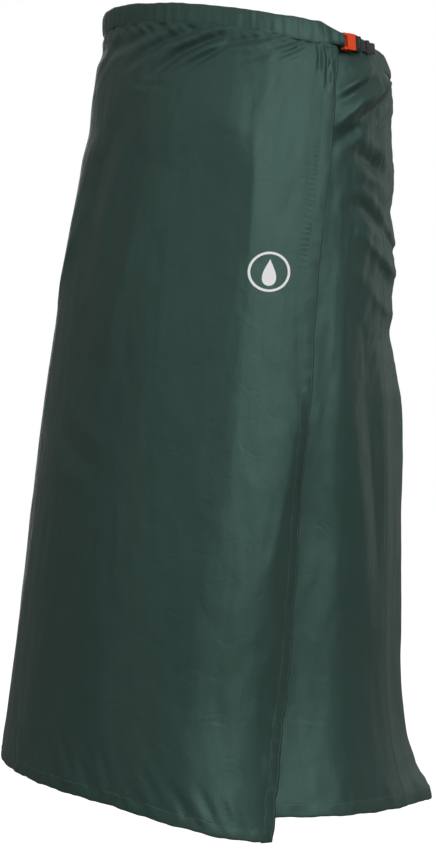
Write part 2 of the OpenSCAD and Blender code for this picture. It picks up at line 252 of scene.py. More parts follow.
def nylon(name, colour, deep, roughness=0.43, crinkle=0.42, pull=False):
    """Coated taffeta; pull adds the small ribs where the facing's stitching pulls on the front panel."""
    f = Finish(name, roughness, Specular_IOR_Level=0.55, Specular_Tint=(0.55, 1.0, 0.86, 1),
               Sheen_Weight=0.03, Sheen_Roughness=0.4, Sheen_Tint=(0.6, 1.0, 0.85, 1))
    place = f.place()
    u, v, _ = f.parts(place)
    weave = (u * (2 * math.pi / WEAVE)).sine() * (v * (2 * math.pi / WEAVE)).sine()
    broad = f.noise(place, 7, 3)
    fine = f.noise(place, 48, 4, 0.62, 0.6)
    long = f.noise(f.node("ShaderNodeMapping", Vector=place, Scale=(95, 11, 1)), 1, 3, 0.6, 0.4)
    folds = 1 - (fine - 0.5).size() * 2
    height = folds * 0.5 + fine * 0.4 + long * 0.5 + weave * 0.05
    if pull:
        near = 1 - ((u - 0.4055) * 130).size()
        reach = ((v - 0.44) * 30).clamp() * ((0.62 - v) * 30).clamp()
        rib = (v * 1180 + fine * 9 + broad * 30).sine()
        height = height + rib * near.clamp() * reach * (0.1 + broad * 0.26)
    f.feed("Base Color", f.mix((broad * 1.2 - 0.1 + (fine - 0.5) * 0.35).clamp(), deep, colour))
    f.feed("Roughness", roughness - 0.05 + fine * 0.1)
    f.bump(height, crinkle, 0.0012)
    return f.material


shell = nylon("green_nylon", (0.031, 0.058, 0.050), (0.025, 0.048, 0.041))
shell_front = nylon("green_nylon_front", (0.031, 0.058, 0.050), (0.025, 0.048, 0.041), pull=True)
shell_fold = nylon("green_nylon_folded", (0.033, 0.061, 0.052), (0.025, 0.048, 0.041), 0.48, 0.34)
tape_green = nylon("seam_tape_green", (0.05, 0.095, 0.088), (0.042, 0.08, 0.075), 0.3, 0.05)


def woven(name, colour, crown_highlight, pitch=0.0016, roughness=0.75):
    """Webbing: a coarse weave of slanting ribs across the strap, with a painted highlight on each yarn's
    crown.
    """
    f = Finish(name, roughness, Sheen_Weight=0.3)
    place = f.place()
    u, v, _ = f.parts(place)
    ribs = ((u * (2 * math.pi / pitch)) + (v * (math.pi / pitch))).sine()
    yarns = (v * (2 * math.pi / (pitch * 0.75))).sine()
    height = ribs * 0.5 + yarns * 0.5
    # the colour follows the weave's height: painted highlight on the crowns, painted shade in the grooves
    f.feed("Base Color", f.mix((height * 0.5 + 0.5).clamp(), colour, crown_highlight))
    f.bump(height, 0.5, 0.0004)
    return f.material


# the second, paler colour of each of these is the painted highlight on the yarn crowns
webbing_grey = woven("charcoal_webbing", (0.007, 0.009, 0.009), (0.022, 0.026, 0.026))
elastic_grey = woven("charcoal_elastic", (0.009, 0.010, 0.011), (0.028, 0.030, 0.033), 0.0011)
label_cloth = woven("label_satin", (0.62, 0.64, 0.62), (0.75, 0.77, 0.75), 0.0007, 0.5)
hook_fuzz = woven("fastening_tape", (0.02, 0.022, 0.024), (0.05, 0.054, 0.056), 0.0018, 0.95)


def moulded(name, colour, deep, roughness, grain=0.02):
    """Injection-moulded plastic: even colour, a faint flow mark and a satin or glossy skin."""
    f = Finish(name, roughness)
    place = f.place("Object")
    flow = f.noise(place, 260, 2)
    speck = f.noise(place, 5200, 2)
    f.feed("Base Color", f.mix(flow, deep, colour))
    f.feed("Roughness", roughness - 0.05 + flow * 0.1)
    f.bump(speck, grain, 0.0002)
    return f.material


orange_plastic = moulded("orange_plastic", (0.93, 0.085, 0.012), (0.88, 0.065, 0.01), 0.3)
dark_plastic = moulded("charcoal_green_plastic", (0.016, 0.024, 0.023), (0.011, 0.017, 0.016), 0.42)


def spun(name, colour, deep):
    """Sewing thread: a twisted ply that catches the light along its length."""
    f = Finish(name, 0.5, Sheen_Weight=0.2)
    f.feed("Base Color", f.mix(f.noise(f.place("Object"), 900, 2), deep, colour))
    return f.material


def printed(name, colour, deep):
    """A thick screen print: chalky, with tiny pinholes where the ink sat on the weave."""
    f = Finish(name, 0.6)
    grain = f.noise(f.place("Object"), 2600, 3)
    f.feed("Base Color", f.mix((grain * 2 - 0.5).clamp(), deep, colour))
    f.bump(grain, 0.15, 0.0001)
    return f.material


thread_green = spun("green_thread", (0.062, 0.108, 0.094), (0.045, 0.082, 0.072))
# the very edge has a real thread, but its pale colour is a painted highlight along the edge
thread_edge_highlight = spun("edge_thread_painted_highlight", (0.135, 0.205, 0.18), (0.085, 0.135, 0.12))
white_print = printed("white_print", (0.96, 0.97, 0.965), (0.88, 0.90, 0.89))
print("finishes:", [m.name for m in bpy.data.materials])

# %% [markdown]
# The skirt's body is one smooth surface: an oval whose half width and depth change with the distance below
# the waist. An angle and a height give a point on it. Angles go round from the front: 90 is the wearer's
# left side, -90 the right side. All sizes here are in millimetres, and become metres when a mesh is written.

# %% The body surface
# distance below the waist, half width, depth as a share of width, sideways drift; the widths and the drift
# were fitted to the garment's outline by least squares and rounded
ROWS = np.array([[-20, 142.4, 0.76, 0], [10, 146.8, 0.76, 0.3], [48, 152.4, 0.78, 1.7],
                 [128, 161.1, 0.80, 0.8], [288, 173.6, 0.84, -3.5], [488, 187.1, 0.88, -4.9],
                 [628, 195.7, 0.90, -5.6], [750, 216.0, 0.90, 3.0]])
BAND_H = 20.5
LAP_GAP = 5.2


def along_rows(s, column):
    """Smooth curve through one column of ROWS at distance s below the waist."""
    xs, ys = ROWS[:, 0], ROWS[:, column]
    s = np.clip(s, xs[0], xs[-1])
    i = np.clip(np.searchsorted(xs, s, side="right") - 1, 0, len(xs) - 2)
    lean = np.array([(ys[min(k + 1, len(ys) - 1)] - ys[max(k - 1, 0)])
                     / (xs[min(k + 1, len(xs) - 1)] - xs[max(k - 1, 0)]) for k in range(len(xs))])
    h = xs[i + 1] - xs[i]
    t = (s - xs[i]) / h
    return ((2 * t**3 - 3 * t**2 + 1) * ys[i] + (t**3 - 2 * t**2 + t) * h * lean[i]
            + (3 * t**2 - 2 * t**3) * ys[i + 1] + (t**3 - t**2) * h * lean[i + 1])


def ease(t):
    t = np.clip(t, 0, 1)
    return t * t * (3 - 2 * t)


def hump(a, centre, width):
    """A smooth bump: 1 at its centre, almost nothing two widths away."""
    return np.exp(-(((a - centre) / width) ** 2))


def eased(at, table):
    """A smooth curve through a short table of (position, value)."""
    xs, ys = np.array([t[0] for t in table], float), np.array([t[1] for t in table], float)
    i = np.clip(np.searchsorted(xs, at, side="right") - 1, 0, len(xs) - 2)
    return ys[i] + (ys[i + 1] - ys[i]) * ease((at - xs[i]) / (xs[i + 1] - xs[i]))


# distance below the waist, and how far the cloth stands out there: what the outline still needed after that
RIGHT_SIDE = [(-20, 0), (5, -3), (20, -5.5), (34, -2.5), (60, -3), (97, -5.5), (126, -2.5), (285, -3.4),
              (690, -3.6), (740, -5)]
LEFT_SIDE = [(-20, 0), (8, 2), (21, 4), (32, 6.5), (58, 5), (85, 0), (115, 0.5), (140, 2), (169, -3),
             (226, -1), (255, -4.5), (284, -8), (313, -3), (342, 3.5), (399, 1), (457, -2.5), (515, -4.5),
             (655, -5), (684, -1), (690, 1.5), (697, 5.5), (705, 8), (740, 7)]


def side_trim(a, z):
    """How far the cloth stands out of the plain oval, at the right side and past the left seam."""
    b = np.where(a < -90, a + 360, a)
    right, left = hump(a, -50, 38), hump(b, 130, 24)
    return (eased(-z, RIGHT_SIDE) * right + eased(-z, LEFT_SIDE) * left
            - 5 * hump(b, 107, 10) * ease((z + 60) / 35))


def waist_z(a):
    return 14.2 * np.cos(np.radians(a)) - 12.8 * np.sin(np.radians(a))


def lap(a):
    """How far the outer panel stands off the under panel: nothing at the right seam, full by the front."""
    return LAP_GAP * ease((a + 90) / 60)


def outer_hem_z(a):
    wave = 0.35 * np.sin(a * 0.61) + 0.18 * np.sin(a * 1.37 + 2) + 0.08 * np.sin(a * 2.3 + 1)
    wave = wave + 2.2 * hump(a, 12, 14) - 1.8 * hump(a, 41, 7)
    return -731.4 - 22.4 * np.sin(np.radians(a)) + 22.3 * np.cos(np.radians(a)) + wave * ease((a + 90) / 8)


def back_hem_z(a):
    """Angles from -260 round to -90 are the back, and up to 100 the under panel."""
    b = np.where(a < -80, a + 360, a)
    wave = 0.35 * np.sin(b * 0.57) + 0.1 * np.sin(b * 1.6 + 1)
    return (-724 + 10.8 * np.sin(np.radians(b)) - 0.5 * np.cos(np.radians(b)) + 25.8 * ease((b - 180) / 90)
            + 12 * ease((50 - b) / 30) + wave * ease((270 - b) / 8))


def edge_a(v):
    """Angle of the outer panel's free edge, from v = 0 under the waistband to 1 at the hem."""
    v = np.clip(v, 0, 1)
    top = 71.8 - 7.8 * np.sin(np.clip(v / 0.4, 0, 1) * math.pi / 2)
    mid = 64.0 - 2.5 * ease((v - 0.4) / 0.36)
    low = 61.5 - 8.5 * np.clip((v - 0.76) / 0.24, 0, 1) ** 1.3
    return np.where(v < 0.4, top, np.where(v < 0.76, mid, low))


def wavy_edge_a(v):
    """The same edge with the small wander that stitching gives it."""
    wave = 0.13 * np.sin(v * 131) + 0.12 * np.sin(v * 77 + 1) + 0.06 * np.sin(v * 263)
    return edge_a(v) + wave * ease((v - 0.3) / 0.08)


def distance_along(points):
    """Length from the first point of a path to each of its points."""
    return np.concatenate([[0], np.cumsum(np.linalg.norm(np.diff(points, axis=0), axis=1))])


def squared(wave, power):
    """A sine or cosine with its hills made flatter, for flat sections with rounded ends."""
    return np.sign(wave) * np.abs(wave) ** power


def body_point(a, z, off):
    """Points in millimetres at angles a and heights z, off millimetres outside the body surface."""
    a, z, off = np.broadcast_arrays(np.asarray(a, float), np.asarray(z, float), np.asarray(off, float))
    w, d = along_rows(-z, 1), along_rows(-z, 1) * along_rows(-z, 2)
    r = np.radians(a)
    n = np.stack([d * np.sin(r), -w * np.cos(r)], -1)
    n /= np.linalg.norm(n, axis=-1, keepdims=True)
    off = off + side_trim(a, z)
    drift = along_rows(-z, 3)
    x = w * np.sin(r) + off * n[..., 0] + drift * math.cos(VIEW_ANGLE)
    y = -d * np.cos(r) + off * n[..., 1] + drift * math.sin(VIEW_ANGLE)
    return np.stack([x, y, z], -1)


def mm_per_degree(a, z):
    w, d = along_rows(-z, 1), along_rows(-z, 1) * along_rows(-z, 2)
    return np.hypot(w * np.cos(np.radians(a)), d * np.sin(np.radians(a))) * math.pi / 180


print("waist round:", round(2 * math.pi * math.sqrt((146.8**2 + 111.6**2) / 2)), "mm")

# %% [markdown]
# Cloth is never smooth, so every panel gets a relief: how far each point stands in or out of the body
# surface. It is a sum of simple things a maker would name: broad soft drapes, creases along drawn lines,
# puckers that die away from a seam, and a faint crumple everywhere. The crumple is gradient noise on a fixed
# table, so it is the same on every run. MM_A is about how many millimetres one degree is round the skirt.

# %% Noise, creases and folds
def crumple(x, y, seed):
    """Smooth gradient noise in two directions, about -1 to 1."""
    draw = np.random.RandomState(seed)
    turn = draw.uniform(0, 2 * math.pi, (64, 64))
    gx, gy = np.cos(turn), np.sin(turn)
    x, y = np.broadcast_arrays(np.asarray(x, float), np.asarray(y, float))
    x0, y0 = np.floor(x).astype(int), np.floor(y).astype(int)
    fx, fy = x - x0, y - y0
    sx, sy = fx**3 * (fx * (fx * 6 - 15) + 10), fy**3 * (fy * (fy * 6 - 15) + 10)

    def corner(i, j):
        gi, gj = (x0 + i) % 64, (y0 + j) % 64
        return gx[gi, gj] * (fx - i) + gy[gi, gj] * (fy - j)

    top = corner(0, 0) * (1 - sx) + corner(1, 0) * sx
    low = corner(0, 1) * (1 - sx) + corner(1, 1) * sx
    return 1.5 * (top * (1 - sy) + low * sy)


MM_A = 2.45


def beside_line(a, z, points):
    """Distance to a drawn line of (angle, height) points, positive above it, and a fade at its two ends."""
    x = a * MM_A
    pts = [(p[0] * MM_A, p[1]) for p in points]
    spans = [math.dist(p, q) for p, q in zip(pts, pts[1:])]
    facing = 1 if pts[-1][0] >= pts[0][0] else -1
    nearest, signed, share = np.full(x.shape, 1e9), np.zeros(x.shape), np.zeros(x.shape)
    done = 0.0
    for (px, pz), (qx, qz), span in zip(pts, pts[1:], spans):
        t = np.clip(((x - px) * (qx - px) + (z - pz) * (qz - pz)) / span**2, 0, 1)
        dx, dz = x - px - t * (qx - px), z - pz - t * (qz - pz)
        gap = np.hypot(dx, dz)
        closer = gap < nearest
        side = np.where(((qx - px) * dz - (qz - pz) * dx) * facing >= 0, 1.0, -1.0)
        nearest = np.where(closer, gap, nearest)
        signed = np.where(closer, gap * side, signed)
        share = np.where(closer, (done + t * span) / sum(spans), share)
        done += span
    return signed, np.sin(np.clip(share, 0.02, 0.98) * math.pi) ** 0.6


def crease(a, z, points, depth, width, shoulder=0.45):
    """A sharp valley along a drawn line, with a rounded shoulder on either side."""
    gap, fade = beside_line(a, z, points)
    u = np.abs(gap) / width
    return depth * fade * (shoulder * np.exp(-((u - 1.9) / 0.9) ** 2) - np.exp(-(u**1.4)))


def fold(a, z, points, height, above, below, soft=0.9):
    """A ridge along a drawn line, with a long slope above it and a short steep one below."""
    gap, fade = beside_line(a, z, points)
    run = np.sqrt(gap * gap + soft * soft) - soft
    return height * fade * np.exp(-run / np.where(gap > 0, above, below))


def puckers(along, away, reach, pitch, seed, slant=0.0):
    """Short folds that start at a seam and die away from it; along and away are in millimetres."""
    wave = crumple((along + slant * away) / pitch, away / (reach * 3.0) + 7.3, seed)
    return wave * np.exp(-np.clip(away, 0, None) / reach) * ease(away / 2.5 + 0.4)


print("crumple sample:", round(float(crumple(np.array([3.3]), np.array([1.7]), 5)[0]), 3))

# %% [markdown]
# The outer panel's creases are lines of (angle, height), each with a depth and a width, placed to match the
# garment. They fan out from the buckle, which pulls the band tight, and short ones run up from the hem, where
# the stitching gathers the cloth. A long ridge hangs from the hip over the thigh, and the free edge rolls in
# below it.

# %% Relief of the outer panel
OUTER_CREASES = [
    ([(44, -21), (29, -28), (21, -40), (15, -50)], 3.2, 3.4),
    ([(36, -18), (21, -25), (11, -37), (3, -52), (-2, -62)], 3.6, 4.2),
    ([(20, -13), (4, -22), (-6, -34), (-13, -44)], 3.0, 4.4),
    ([(27, -20), (12, -31), (4, -44), (-6, -60)], 1.6, 4.5),
    ([(1, -10), (-12, -18), (-22, -27)], 1.8, 4.5),
    ([(-14, -12), (-26, -24), (-36, -44)], 1.6, 6.0),
    ([(59, -25), (52.5, -34), (45, -42)], 1.7, 2.0),
    ([(57, -21), (48, -28), (40, -34)], 1.5, 2.4),
    ([(52, -30), (42, -38), (32, -44)], 1.0, 3.0),
    ([(66.5, -27), (66.8, -40), (66.5, -66)], 3.2, 2.2),
    ([(69.4, -27), (69.0, -36), (69.5, -52)], 2.6, 1.7),
    ([(63.2, -24), (63.6, -36), (63.0, -50)], 2.2, 2.0),
    ([(71.0, -30), (70.6, -46), (70.8, -78)], 1.8, 2.2),
    ([(-38, -345), (-24, -380), (-11, -405), (0, -420)], 1.6, 11.0),
    ([(-10, -90), (-20, -135), (-24, -190), (-20, -240)], 3.0, 14.0),
    ([(-8, -60), (-3, -64), (9, -66)], 0.8, 2.6),
]
HEM_CREASES = [
    ([(0, -690), (-2, -676), (-5, -652)], 1.3, 2.6),
    ([(6, -700), (5, -690), (3, -676)], 0.9, 2.2),
    ([(12.5, -704), (11.5, -690), (9.5, -668)], 1.3, 2.6),
    ([(19, -708), (18, -698), (15.5, -684)], 0.9, 2.2),
    ([(26.5, -712), (25, -700), (21, -674)], 1.5, 2.8),
    ([(33, -717), (31.5, -704), (29, -690)], 1.3, 2.4),
    ([(39, -722), (37.8, -708), (35.5, -690)], 1.5, 2.6),
    ([(43.5, -724), (42.5, -714), (41, -700)], 1.2, 2.2),
    ([(-7, -686), (-8.5, -674), (-10, -662)], 0.9, 2.2),
    ([(-14, -682), (-16, -668), (-18, -650)], 1.2, 2.8),
    ([(-27, -680), (-28.5, -664), (-30, -648)], 1.3, 2.8),
]
OUTER_FOLDS = [
    ([(39.6, -100), (40.4, -134), (41.4, -170), (41.5, -230)], 1.7, 24, 4, 0.9),
    ([(44, -122), (36, -114), (24, -98), (8, -106), (-8, -88), (-26, -98)], 4.6, 60, 34, 16),
    ([(-24, -165), (-33, -210), (-46, -268)], 3.6, 24, 9, 3),
    ([(14, -140), (4, -200), (-2, -270), (-4, -330)], 3.6, 30, 15, 5),
]
RIDGE = [(30, 16.0), (70, 22.0), (112, 36.5), (150, 40.0), (350, 40.2), (527, 36.5), (620, 33.5), (700, 32.0)]
ROLL = [(340, 60.0), (420, 57.0), (490, 52.5), (560, 48.5), (614, 46.0), (682, 43.0), (760, 41.0)]


def broad_drape(a, z):
    """Slow waves that run down the whole skirt, the same at the right seam for front and back."""
    down = -z
    return (2.0 * crumple(a * MM_A / 85, down / 420, 11) * ease(down / 160)
            + 1.3 * crumple(a * MM_A / 40 + down / 300, down / 200, 12) * ease((down - 60) / 200)
            + 0.5 * crumple(a * MM_A / 17, down / 60, 13) + 0.26 * crumple(a * MM_A / 8, down / 24, 14))


def outer_relief(a, z):
    v = (waist_z(a) - BAND_H - z) / (waist_z(a) - BAND_H - outer_hem_z(a))
    below = (waist_z(a) - BAND_H) - z
    above = z - outer_hem_z(a)
    inside = (edge_a(v) - a) * mm_per_degree(a, z)
    d = np.zeros(np.shape(a))
    # the cloth hangs over the thigh in a long soft ridge: it faces the light to the left of the wearer
    ridge_a = np.interp(-z, [r[0] for r in RIDGE], [r[1] for r in RIDGE])
    kink = 4.5 - 3.2 * hump(-z, 160, 60) + 1.0 * ease((-z - 300) / 250)
    run = np.sqrt((a - ridge_a) ** 2 + kink**2) - kink
    d += (6.0 * np.exp(-run / np.where(a > ridge_a, 17, 13)) * ease((-z - 20) / 130)
          * (1 + 0.35 * ease((-z - 380) / 200)))
    # below mid length the free edge rolls in towards the under panel
    roll_a = np.interp(-z, [r[0] for r in ROLL], [r[1] for r in ROLL])
    d -= 12 * np.clip((a - roll_a) / (edge_a(v) - roll_a), 0, 1.15) ** 1.45 * ease((below - 300) / 120)
    for points, depth, width in OUTER_CREASES:
        d += crease(a, z, points, depth, width)
    for points, depth, width in HEM_CREASES:
        d += crease(a, z, points, 0.62 * depth, width)
    for points, height, up, down, soft in OUTER_FOLDS:
        d += fold(a, z, points, height, up, down, soft)
    d += 1.5 * puckers(a * MM_A, below, 11, 9, 21, -1.3)
    d += 0.8 * puckers(a * MM_A, below, 7, 4.2, 22)
    d += 1.4 * puckers(a * MM_A, np.clip(above - 8, 0, None), 20, 13, 23, 0.35) * ease(above / 12)
    d += 1.2 * puckers(a * MM_A, np.clip(above - 8, 0, None), 11, 6, 27, 0.35) * ease(above / 12)
    # the cloth swells out below the band where the band opens round the buckle
    d += 2.6 * ease((a - 60) / 9) * np.exp(-np.clip(below, 0, None) / 15)
    # ripples where the facing pulls on the edge
    ripple = np.exp(-((inside - 5) / 9) ** 2) * ease((below - 285) / 30)
    d += 1.5 * ripple * crumple((below + inside * 1.6) / 15, inside / 30, 25)
    d += 0.5 * np.exp(-np.clip(inside, 0, None) / 10) * crumple(below / 9, inside / 20, 26)
    # faint long creases left from folding, mostly in the lower half
    d += 0.45 * np.abs(crumple(a * MM_A / 14, z / 120, 28)) * ease((below - 300) / 200)
    return d * ease((a + 90) / 9) + broad_drape(a, z)


print("outer panel:", len(OUTER_CREASES) + len(HEM_CREASES), "creases and", len(OUTER_FOLDS), "folds")

# %% [markdown]
# Below the buckle the under panel carries the deepest folds: the pull of the webbing lifts the cloth into
# ridges that hang over dark hollows, slanting down to the free edge. They run on round the seam into the back
# panel, so both panels ask the same function. Under the lap the panel is pressed flat and set back.

# %% Relief of the side, the under panel and the back
SIDE_FOLDS = [
    ([(95, -33), (86, -46), (79, -56), (71, -68)], 8.0, 9, 7.0),
    ([(114, -42), (106, -48), (98, -55), (90, -65), (81, -75), (74, -89), (68, -101)], 14.0, 16, 11.0),
    ([(93, -88), (83, -92), (75, -98)], 3.5, 9, 5.0),
    ([(150, -52), (134, -66), (120, -74)], 2.2, 12, 6.0),
    ([(124, -226), (106, -224), (93, -208), (80, -190)], 4.6, 13, 6.0),
    ([(120, -262), (104, -262), (94, -252), (86, -240)], 3.0, 16, 5.0),
    ([(140, -104), (124, -122), (112, -134)], 2.4, 12, 6.0),
    ([(150, -170), (128, -190), (114, -200)], 3.6, 14, 5.0),
]
SIDE_CREASES = [
    ([(108, -62), (98, -71), (90, -82), (82, -93), (75, -107), (70, -117)], 4.0, 6.0),
    ([(90, -50), (82, -61), (75, -72), (71, -78)], 2.6, 3.6),
    ([(100, -89), (107, -80), (114, -71)], 2.6, 2.4),
    ([(104, -134), (92, -127), (80, -121)], 5.5, 8.0),
    ([(102, -192), (92, -176), (84, -168), (78, -172)], 3.6, 6.5),
    ([(122, -205), (112, -196), (100, -185)], 3.2, 4.0),
    ([(118, -148), (109, -160), (101, -170)], 2.6, 4.5),
    ([(86, -262), (88, -310), (90, -363), (94, -440), (97, -530)], 3.2, 12.0),
    ([(99, -40), (92, -70), (86, -88)], 1.6, 4.0),
    ([(128, -290), (120, -330), (124, -380)], 3.0, 8.0),
]


def side_folds(b, z):
    """Folds round the left seam, where the buckle pulls; b runs on past the seam into the back panel."""
    below = (waist_z(b) - BAND_H) - z
    d = np.zeros(np.shape(b))
    for points, height, up, down in SIDE_FOLDS:
        d += fold(b, z, points, height, up, down)
    for points, depth, width in SIDE_CREASES:
        d += crease(b, z, points, depth, width)
    x, y = b * MM_A * 0.85 + z * 0.5, z * 0.85 - b * MM_A * 0.5
    rough = ease((b - 78) / 14) * ease((340 - below) / 90) * ease((below + 18) / 12)
    d += rough * (2.7 * np.abs(crumple(x / 46 + 0.2 * crumple(x / 20, y / 20, 36), y / 31, 32))
                  + 0.8 * np.abs(crumple(x / 19, y / 13, 33)))
    return (d - 1.8 * rough) * ease((168 - b) / 26)


def under_relief(a, z):
    """The under panel: deep slanting folds at the side, and set back where the outer panel lies over it."""
    below = (waist_z(a) - BAND_H) - z
    v = below / (waist_z(a) - BAND_H - outer_hem_z(a))
    above = z - back_hem_z(a)
    hidden = ease((edge_a(v) - 2.0 - a) / 4.0)
    low = ease((below - 330) / 130)
    d = 2.0 * crumple(a * MM_A / 60, -z / 300, 31) * ease(below / 120)
    d += 2.0 * np.exp(-((a - 75) / 5) ** 2) * ease((below - 170) / 60) * ease((640 - below) / 200)
    d -= 9.0 * np.exp(-(((a - edge_a(v)) / 13) ** 2)) * low
    d += 1.6 * puckers(a * MM_A, below, 14, 8, 34, 0.9)
    d += 1.0 * puckers(a * MM_A, np.clip(above - 8, 0, None), 16, 12, 35, -0.3) * ease(above / 12)
    d += 0.6 * crumple(a * MM_A / 17, z / 50, 13) + 0.3 * crumple(a * MM_A / 8, z / 24, 14)
    shown = side_folds(a, z) + d * ease((100 - a) / 8)
    return shown * (1 - hidden) - (4.2 + 8.5 * low) * hidden


def back_relief(a, z):
    below = (waist_z(a) - BAND_H) - z
    above = z - back_hem_z(a)
    flutes = np.sin(np.radians((a + 90) * 9 + 25 * crumple(a / 30, -z / 300, 41)))
    d = 4.4 * flutes * ease((below - 120) / 420)
    d += 1.6 * puckers(a * MM_A, below, 26, 10, 43)
    d += 0.8 * puckers(a * MM_A, below, 9, 4.4, 44)
    d += 1.5 * puckers(a * MM_A, np.clip(above - 8, 0, None), 18, 14, 45, 0.3) * ease(above / 12)
    d += 0.45 * np.abs(crumple(a * MM_A / 14, z / 120, 46)) * ease((below - 200) / 200)
    own = d * ease((-90 - a) / 12) * ease((a + 260) / 12)
    return own + broad_drape(a, z) * ease((a + 260) / 14) + side_folds(a + 360, z)


print("side:", len(SIDE_CREASES), "creases and", len(SIDE_FOLDS), "folds")

# %% [markdown]
# Each panel now has one function that gives a point on its outside from an angle and a height. Cloth, hems,
# thread and print all use it, so whatever is sewn to a panel follows every ripple of it.

# %% Points on each panel
def tucked(a, z):
    """The offset of a panel near its top, where it runs up between the two walls of the waistband."""
    below = (waist_z(a) - BAND_H) - z
    return -1.5 * (1 - ease((below + 2) / 16))


def panel_point(relief, stand_off):
    """A panel's own function: the point on its outside at an angle, a height and an offset."""
    def point(a, z, off=0.0):
        a, z = np.broadcast_arrays(np.asarray(a, float), np.asarray(z, float))
        return body_point(a, z, stand_off(a) + relief(a, z) + tucked(a, z) + off)
    return point


def on_the_body(a):
    return 0 * a


outer_point = panel_point(outer_relief, lap)
under_point = panel_point(under_relief, on_the_body)
back_point = panel_point(back_relief, on_the_body)
print("outer edge, mid length:", np.round(outer_point(63.9, -380.0), 1))

# %% [markdown]
# A panel starts as a flat grid from create_grid. Its two grid directions become the angle and the height, and
# each vertex is moved to its place on the skirt. The same grid gives the cloth its map, in metres, for the
# weave. A Solidify modifier then gives it a real thickness, inwards.

# %% Sheets from a grid
def finished(name, mesh, finish, smooth=True):
    """Turns a bmesh into an object at the origin, with one finish."""
    for face in mesh.faces:
        face.smooth = smooth
    data = bpy.data.meshes.new(name)
    mesh.to_mesh(data)
    mesh.free()
    data.materials.append(finish)
    piece = bpy.data.objects.new(name, data)
    bpy.context.scene.collection.objects.link(piece)
    return piece


def face_outwards(piece):
    """Turns the faces of a closed piece so that they all point out of it."""
    mesh = bmesh.new()
    mesh.from_mesh(piece.data)
    bmesh.ops.recalc_face_normals(mesh, faces=mesh.faces)
    mesh.to_mesh(piece.data)
    mesh.free()


def grid_object(name, columns, rows, place, finish, map_size, thickness=0.0, tube=False):
    """A grid moved onto place(u, v), which takes arrays from 0 to 1 and gives millimetres."""
    mesh = bmesh.new()
    uv = mesh.loops.layers.uv.new("cloth")
    bmesh.ops.create_grid(mesh, x_segments=columns, y_segments=rows, size=0.5)
    flat = np.array([v.co[:2] for v in mesh.verts]) + 0.5
    for face in mesh.faces:
        for loop in face.loops:
            loop[uv].uv = ((loop.vert.co.x + 0.5) * map_size[0], (loop.vert.co.y + 0.5) * map_size[1])
    placed = place(flat[:, 0], flat[:, 1]) / 1000
    for vert, co in zip(mesh.verts, placed):
        vert.co = co
    if tube:
        bmesh.ops.remove_doubles(mesh, verts=mesh.verts, dist=1e-6)
        bmesh.ops.holes_fill(mesh, edges=mesh.edges, sides=0)
    piece = finished(name, mesh, finish)
    if thickness:
        wall = piece.modifiers.new("thickness", "SOLIDIFY")
        wall.thickness, wall.offset = thickness / 1000, -1
    print(name, len(piece.data.polygons), "faces")
    return piece


def panel_place(first, last, bottom, point):
    """Maps (u, v) to a panel: v = 1 is the top, tucked 3 mm into the waistband, and rows crowd there."""
    def place(u, v):
        t = (1 - v) ** 1.25
        a = first + (last(t) - first) * u
        top = waist_z(a) - BAND_H + 3
        return point(a, top + (bottom(a) - top) * t)
    return place


CLOTH = 0.35
outer_cloth = grid_object("outer_cloth", 225, 210, panel_place(-90, wavy_edge_a, outer_hem_z, outer_point),
                          shell_front, (0.42, 0.735), CLOTH)
under_cloth = grid_object("under_cloth", 150, 200, panel_place(10, lambda t: 100.0, back_hem_z, under_point),
                          shell, (0.22, 0.72), CLOTH)
back_cloth = grid_object("back_cloth", 220, 190, panel_place(-260, lambda t: -90.0, back_hem_z, back_point),
                         shell, (0.43, 0.71), CLOTH)

# %% [markdown]
# The waistband is a folded casing: the cloth goes up, over and down again, with webbing inside, so it is a
# flat tube. Its cross-section is a rounded loop drawn by the grid's second direction, closed by merging the
# first and last row. The band is slightly gathered, so its faces and its top edge are never quite straight.

# %% Waistbands
def near_buckle(a):
    """How strongly the band is bunched: most just before the buckle."""
    return 1.8 * hump(a, 72, 6.5)


def puffed_top(a):
    """The band stands up a little where it bunches before the buckle."""
    return 2.8 * hump(a, 65.5, 3.6) + 0.9 * hump(a, 55, 8) - 2.0 * hump(a, 73, 3)


def band_gather(a, height, seed):
    """Small soft folds across a band, deeper close to the buckle; height is from the band's middle."""
    x = a * MM_A
    gather = crumple(x / 9, height / 40 + 3, seed) * 0.75 + crumple(x / 4.3, height / 16, seed + 1) * 0.35
    return gather * (1 + 1.6 * near_buckle(a))


def mouth(a):
    """The outer band opens round the buckle's socket at its end."""
    return ease((a - 66) / 6.5)


def band_place(first, last, centre, deep, seed, folds):
    def place(u, v):
        a = first + (last - first) * u
        turn = v * 2 * math.pi - math.pi / 2
        up, out = np.sin(turn), np.cos(turn)
        x = a * MM_A
        height = squared(up, 0.55) * BAND_H / 2
        depth = deep(a) * squared(out, 0.7)
        wave = 0.7 * crumple(x / 26, 0 * x, seed + 2) + 0.35 * crumple(x / 9, 0 * x, seed + 3)
        z = waist_z(a) - BAND_H / 2 + height * (1 - 0.15 * near_buckle(a)) + wave * np.clip(up, -0.3, 1)
        if last < 80:
            z = z + puffed_top(a) * np.clip(up, 0, 1)
        gather = band_gather(a, height, seed) * np.where(out > 0, 1.0, -0.4) * np.abs(out)
        slow = 0.3 * crumple(x / 30, 0 * x, seed + 4)
        return body_point(a, z, centre(a) + depth + gather + slow + folds(a, z))
    return place


def middle_of_outer(a):
    return lap(a) - 1.7 + 3.2 * mouth(a)


def depth_of_outer(a):
    return 1.75 + 3.3 * mouth(a)


def middle_of_under(a):
    return 0 * a - 1.7


def depth_of_under(a):
    return 0 * a + 1.75


def no_folds(a, z):
    return 0 * a


def under_band_folds(a, z):
    return 0.6 * side_folds(a, z) * ease((a - 74) / 5)


def back_band_folds(a, z):
    return 0.6 * side_folds(a + 360, z)


